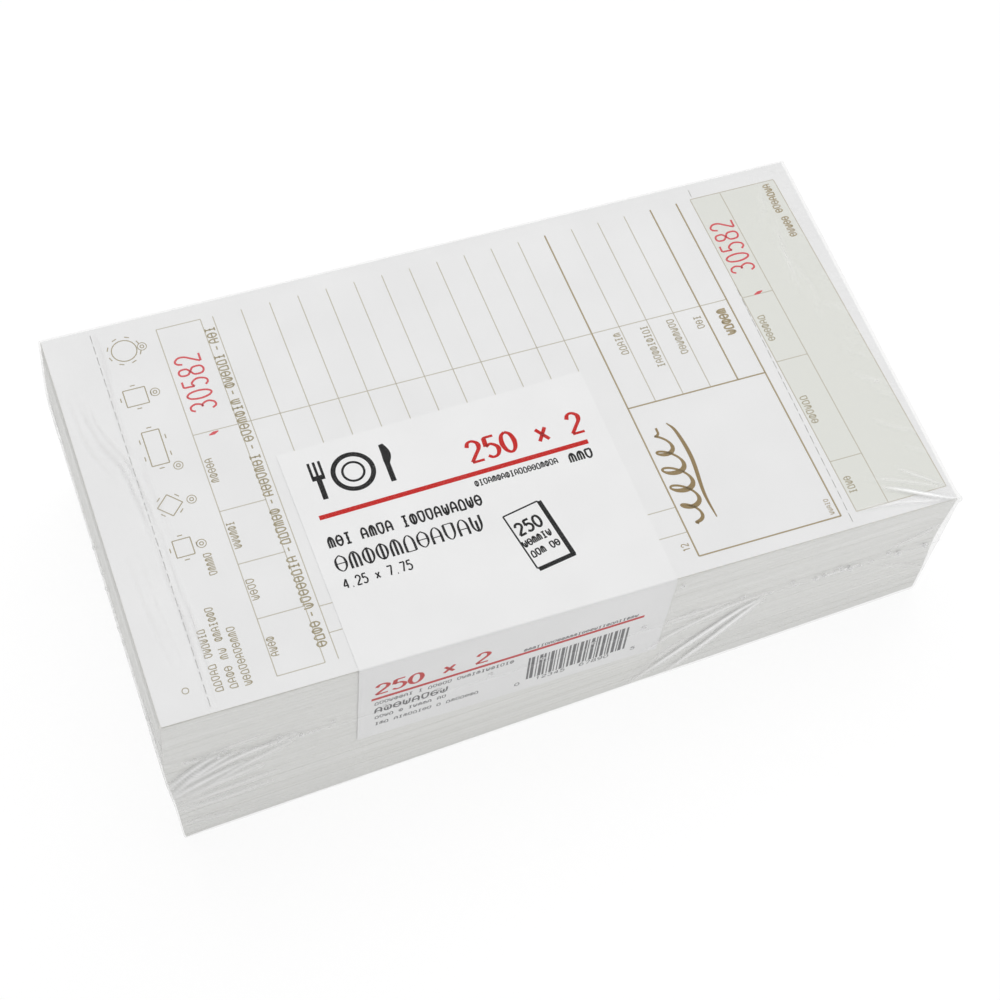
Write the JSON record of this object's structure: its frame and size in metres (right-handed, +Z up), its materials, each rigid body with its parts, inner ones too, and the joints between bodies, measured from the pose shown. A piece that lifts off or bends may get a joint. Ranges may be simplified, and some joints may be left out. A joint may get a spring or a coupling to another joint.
{
  "type": "guest check pack",
  "caption": "Shrink-wrapped stack of loose two-part guest check forms with a folded paper label slip under clear film.",
  "frame": {"origin": "middle of the lowest check, on the surface that the pack rests on", "axes": "+X from the glued stub end to the receipt end, +Y from the front with the label flap to the back, +Z up"},
  "size_m": [0.2021, 0.1129, 0.0715],
  "materials": {
    "check_paper": "uncoated white form paper",
    "second_copy_paper": "uncoated buff form paper",
    "label_paper": "smooth white printed paper",
    "edge_glue": "dried padding glue",
    "clear_film": "clear glossy shrink film"
  },
  "bodies": {
    "root": {"checks_002_to_006": "check_paper", "checks_007_to_011": "check_paper", "checks_012_to_016": "check_paper", "checks_017_to_021": "check_paper", "checks_022_to_026": "check_paper", "checks_027_to_031": "check_paper", "checks_032_to_036": "check_paper", "checks_037_to_041": "check_paper", "checks_042_to_046": "check_paper", "checks_047_to_051": "check_paper", "checks_052_to_056": "check_paper", "checks_057_to_061": "check_paper", "checks_062_to_066": "check_paper", "checks_067_to_071": "check_paper", "checks_072_to_076": "check_paper", "checks_077_to_081": "check_paper", "checks_082_to_086": "check_paper", "checks_087_to_091": "check_paper", "checks_092_to_096": "check_paper", "checks_097_to_101": "check_paper", "checks_102_to_106": "check_paper", "checks_107_to_111": "check_paper", "checks_112_to_116": "check_paper", "checks_117_to_121": "check_paper", "checks_122_to_126": "check_paper", "checks_127_to_130": "check_paper", "checks_131_to_135": "check_paper", "checks_136_to_140": "check_paper", "checks_141_to_145": "check_paper", "checks_146_to_150": "check_paper", "checks_151_to_155": "check_paper", "checks_156_to_160": "check_paper", "checks_161_to_165": "check_paper", "checks_166_to_170": "check_paper", "checks_171_to_175": "check_paper", "checks_176_to_180": "check_paper", "checks_181_to_185": "check_paper", "checks_186_to_190": "check_paper", "checks_191_to_195": "check_paper", "checks_196_to_200": "check_paper", "checks_201_to_205": "check_paper", "checks_206_to_210": "check_paper", "checks_211_to_215": "check_paper", "checks_216_to_220": "check_paper", "checks_221_to_225": "check_paper", "checks_226_to_230": "check_paper", "checks_231_to_235": "check_paper", "checks_236_to_240": "check_paper", "checks_241_to_245": "check_paper", "checks_246_to_250": "check_paper", "first_check_glue_line": "edge_glue", "first_check_second_copy": "second_copy_paper", "first_check_top_copy": "check_paper", "label_slip": "label_paper", "shrink_film": "clear_film"}
  },
  "joints": []
}
